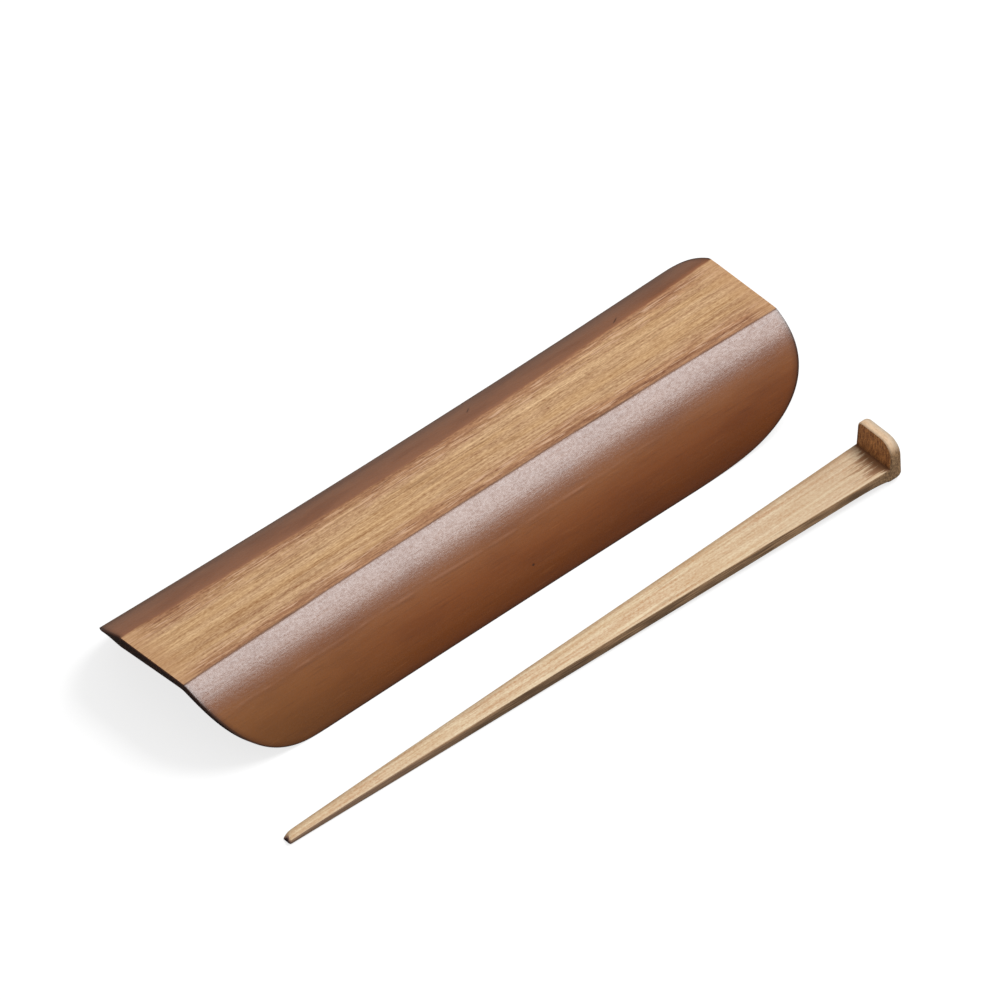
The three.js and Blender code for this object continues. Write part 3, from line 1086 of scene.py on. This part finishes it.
def pick_half_width(along):
    share = (along / (TAB_START / MM)).held() ** PICK_TAPER
    return share.blend(PICK_TIP_WIDTH / MM / 2, PICK_HEAD_WIDTH / MM / 2)


def pick_face_material():
    """Pale flat face with fine long fibres, scorched in dark fingers at the tab's foot."""
    material, tree = new_material("pale_face")
    along, across, _ = on_pick(tree)
    bands = fibres(along, across, length=110, width=1.25, seed=8.1, detail=3, roughness=0.6)
    strands = fibres(along, across, length=14, width=0.66, seed=2.9, detail=3, roughness=0.6)
    grit = fibres(along, across, length=0.7, width=0.4, seed=5.7, roughness=0.6)
    tone = 0.6 + bands.centred() * 1.7 + strands.centred() * 1.2 + grit.centred() * 1.2
    colour = tree.tint(tone.held(), FACE_DARK, FACE_PALE)
    drift = fibres(along, across, length=34, width=5, seed=3.6)
    colour = tree.tint(drift.rise(0.42, 0.7) * 0.3, colour, FACE_GOLD)
    thread = fibres(along, across, length=55, width=1.2, seed=7.3)
    broken = fibres(along, across, length=14, width=1.6, seed=4.6).rise(0.4, 0.6)
    colour = tree.tint(contour(thread, level=0.5, width=0.03) * broken * 0.5, colour, FACE_LINE)

    # Greyer toward the head, a paler line along the near rounded edge that is a painted highlight, and a
    # darker far one
    colour = tree.tint(along.rise(110, 176) * 0.35, colour, FACE_HEAD)
    half = pick_half_width(along)
    # painted highlight: a paler line along the near rounded edge
    colour = tree.tint((across + half).rise(0.8, 0.3) * 0.4, colour, FACE_NEAR_EDGE_HIGHLIGHT)
    colour = tree.tint((half - across).rise(1.6, 0.1) * 0.55, colour, FACE_FAR_EDGE)

    # Scorched fingers, and a dark line in the corner at the tab's foot that is partly scorch and partly
    # painted shade
    before_tab = (TAB_START - TAB_TOE / 2) / MM - along
    fingers = fibres(along, across, length=7, width=0.62, seed=6.4, detail=3, roughness=0.6)
    reach = 1 + (fingers - 0.36).highest(0) * 34 * across.rise(4.6, -1) * (across + half).rise(0, 1.4)
    scorch = (before_tab / reach).rise(1.15, 0.3)
    colour = tree.tint(scorch * 0.9, colour, SCORCH)
    # partly scorch, partly painted shade in the corner at the tab's foot
    colour = tree.tint(before_tab.rise(0.8, 0.1) * 0.6, colour, FOOT_SCORCH_AND_SHADE)
    close_material(tree, {"Base Color": colour, "Roughness": 0.55, "Normal": tree.relief(strands * 0.03)})
    return material


def pick_side_material():
    """Sides and underside, darker and olive, with the fibres torn a little."""
    material, tree = new_material("olive_side")
    along, across, up = on_pick(tree)
    strands = fibres(along, up + across * 0.4, length=9, width=0.4, seed=5.2, detail=4, roughness=0.65)
    patches = fibres(along, up, length=16, width=3, seed=1.7, detail=3)
    colour = tree.tint(strands.rise(0.32, 0.68), SIDE_DARK, SIDE_PALE)
    colour = tree.tint(patches.rise(0.42, 0.64) * 0.5, colour, SIDE_PATCH)
    colour = tree.tint(along.rise(70, 10) * 0.5, colour, SIDE_TIP)
    # painted shade: darker toward the lower edge, next to the table
    high = (up - 0.6) / (PICK_HEAD_THICKNESS / MM)
    colour = tree.tint(high.rise(0.9, 0) * 0.3, colour, SIDE_LOW_SHADE)
    colour = tree.tint((TAB_START / MM - along).rise(9, 1), colour, node_brown(tree, along, across, up))
    close_material(tree, {"Base Color": colour, "Roughness": 0.6, "Normal": tree.relief(strands * 0.06)})
    return material


def node_brown(tree, along, across, up):
    """Speckled brown of the node, where it is cut through at the pick's sides."""
    speckle = tree.noise(along / 0.45, across / 0.45, up / 0.6, detail=3, roughness=0.7)
    cloud = tree.noise(along / 2.4, across / 2.4, up / 1.8)
    colour = tree.tint(speckle.rise(0.3, 0.7), NODE_DARK, NODE_PALE)
    return tree.tint(cloud.rise(0.42, 0.62) * 0.4, colour, NODE_CLOUD)


def diaphragm_material():
    """The node's diaphragm, brown with fine upright streaks, darkest low down and at its far edge."""
    material, tree = new_material("brown_diaphragm")
    along, across, up = on_pick(tree)
    fine = fibres(up, across, length=1.6, width=0.34, seed=9.3, detail=3, roughness=0.7)
    colour = tree.tint(fine.rise(0.34, 0.66), DIAPHRAGM_PALE, DIAPHRAGM_DARK)
    speckle = tree.noise(along, across / 0.36, up / 0.36, detail=3, roughness=0.7)
    colour = tree.tint(speckle.rise(0.46, 0.66) * 0.6, colour, DIAPHRAGM_SPECK)
    colour = tree.tint(speckle.rise(0.42, 0.3) * 0.6, colour, DIAPHRAGM_FLECK)
    foot = (PICK_HEAD_THICKNESS + NODE_DROP) / MM
    # darker low down in the corner with the strip: partly scorch, partly painted shade
    colour = tree.tint(up.rise(foot + 1.5, foot - 0.2) * 0.4, colour, DIAPHRAGM_FOOT_SCORCH_AND_SHADE)
    colour = tree.tint(across.rise(4.6, 5.8) * 0.6, colour, DIAPHRAGM_FAR_EDGE)
    close_material(tree, {"Base Color": colour, "Roughness": 0.6, "Normal": tree.relief(fine * 0.1)})
    return material


def tab_rim_material():
    """The tab's cut rim, pale on top and olive brown lower down, greyer toward its rounded outer edge as
    painted shade.
    """
    material, tree = new_material("tab_rim")
    along, across, up = on_pick(tree)
    fine = tree.noise(along / 0.35, across / 1.1, up / 1.1, detail=3, roughness=0.65)
    outwards = (along - (TAB_START + TAB_LEAN - TAB_TOE) / MM) / (TAB_TOP_THICKNESS / MM)
    # painted shade: greyer toward the rounded outer edge
    colour = tree.tint(outwards.rise(0.25, 0.9), RIM_INNER, RIM_OUTER_SHADE)
    colour = tree.tint(fine.rise(0.44, 0.68) * 0.5, colour, RIM_FIBRE)
    low = up + fine.centred() * 1.8
    brown = low.rise(RIM_PALE_ABOVE, RIM_BROWN_BELOW)
    colour = tree.tint(brown, colour, node_brown(tree, along, across, up))
    close_material(tree, {"Base Color": colour, "Roughness": 0.6, "Normal": tree.relief(fine * 0.05)})
    return material


def tip_material():
    """End grain of the tip, with one dark spot."""
    material, tree = new_material("dark_tip")
    along, across, up = on_pick(tree)
    dots = tree.noise(along / 0.4, across / 0.3, up / 0.3)
    from_spot = (along ** 2 + (across - SPOT_ACROSS) ** 2 + (up - SPOT_UP) ** 2).math("SQRT")
    from_spot += dots.centred() * 0.3
    colour = tree.tint(from_spot.rise(1.9, 1.1), TIP_WOOD, TIP_HALO)
    colour = tree.tint(from_spot.rise(1.2, 0.8), colour, TIP_SPOT)
    close_material(tree, {"Base Color": colour, "Roughness": 0.6})
    return material


add_camera()
add_table()
add_room_light()
add_soft_box()
add_grey_tent()
make_scoop()
make_pick()
